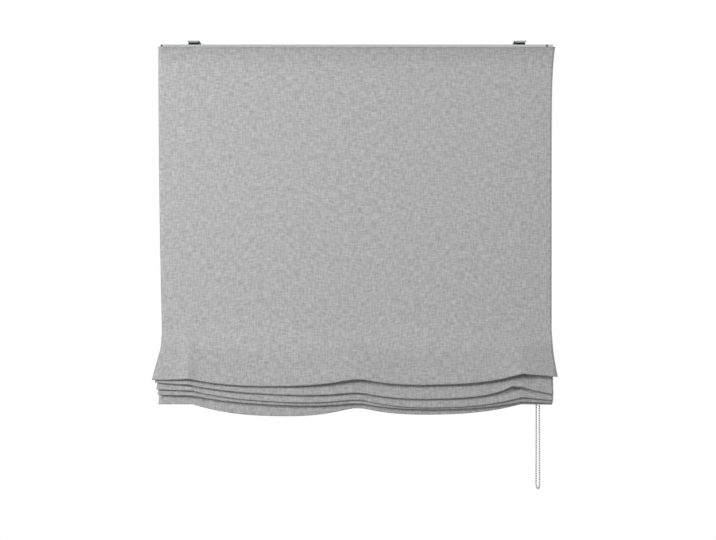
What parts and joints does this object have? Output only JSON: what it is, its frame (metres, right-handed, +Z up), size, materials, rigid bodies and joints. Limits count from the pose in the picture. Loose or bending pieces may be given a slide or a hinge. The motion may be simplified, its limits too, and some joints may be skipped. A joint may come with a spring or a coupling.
{
  "type": "roman blind",
  "caption": "Soft roman blind partly raised: linen-look cloth on an aluminium head rail, with swagged folds at the hem, lift cords behind and a bead chain loop.",
  "frame": {"origin": "middle of the line between the two bracket screw holes, on the mounting plane at the top of the bracket plates", "axes": "+X along the head rail to the chain side, +Y to the wall or ceiling side, so the room side is -Y, +Z up"},
  "size_m": [1.009, 0.105, 1.134],
  "materials": {
    "aluminium_rail": "satin anodised extrusion",
    "grey_plastic": "moulded, satin, dark grey",
    "white_plastic": "moulded, satin",
    "touch_tape": "woven tape",
    "zinc_steel": "zinc plated",
    "black_nylon": "moulded, matt",
    "spring_steel": "drawn wire",
    "chain_plastic": "moulded beads on a cord",
    "clear_plastic": "moulded, milky",
    "linen": "open plain weave with slubs, half sheer",
    "braided_cord": "braided polyester",
    "hem_lead": "lead shot in a sleeve"
  },
  "bodies": {
    "rail": {"head_rail": "aluminium_rail", "end_cap_left": "grey_plastic", "control_housing": "grey_plastic", "control_cover": "white_plastic", "hook_tape": "touch_tape", "loop_tape": "touch_tape", "bracket_plate_left": "zinc_steel", "bracket_plate_right": "zinc_steel", "cam_rivet_left": "zinc_steel", "cam_rivet_right": "zinc_steel", "drum_cradle_left": "white_plastic", "drum_cradle_middle": "white_plastic", "drum_cradle_right": "white_plastic", "bead_chain": "chain_plastic", "chain_connector": "clear_plastic", "fabric_shade": "linen", "fabric_rings": "clear_plastic", "lift_cord_left": "braided_cord", "lift_cord_middle": "braided_cord", "lift_cord_right": "braided_cord"},
    "drive": {"drive_shaft": "zinc_steel", "lift_drum_left": "white_plastic", "lift_drum_middle": "white_plastic", "lift_drum_right": "white_plastic", "chain_sprocket": "white_plastic", "brake_spring": "spring_steel"},
    "hem": {"hem_weight": "hem_lead", "hem_rings": "clear_plastic", "cord_stop_left": "white_plastic", "cord_stop_middle": "white_plastic", "cord_stop_right": "white_plastic"},
    "cam_left": {"bracket_cam_left": "black_nylon"},
    "cam_right": {"bracket_cam_right": "black_nylon"}
  },
  "joints": [
    {"name": "lift", "type": "slide", "parent": "rail", "child": "hem", "axis": [0, 0, 1], "range_m": [-0.7857, 0.5], "deforming": ["fabric_shade", "fabric_rings", "lift_cord_left", "lift_cord_middle", "lift_cord_right"]},
    {"name": "drive_turn", "type": "hinge", "parent": "rail", "child": "drive", "pos_m": [0, -0.016, -0.03414], "axis": [-1, 0, 0], "range_deg": [-3330, 2112], "deforming": ["bead_chain", "chain_connector"]},
    {"name": "cam_left_turn", "type": "hinge", "parent": "rail", "child": "cam_left", "pos_m": [-0.412, -0.016, -0.005], "axis": [0, 0, 1], "range_deg": [0, 90]},
    {"name": "cam_right_turn", "type": "hinge", "parent": "rail", "child": "cam_right", "pos_m": [0.412, -0.016, -0.005], "axis": [0, 0, 1], "range_deg": [0, 90]}
  ],
  "couplings": [
    {"joint": "drive_turn", "follows": "lift", "rad_per_m": 73.31}
  ]
}
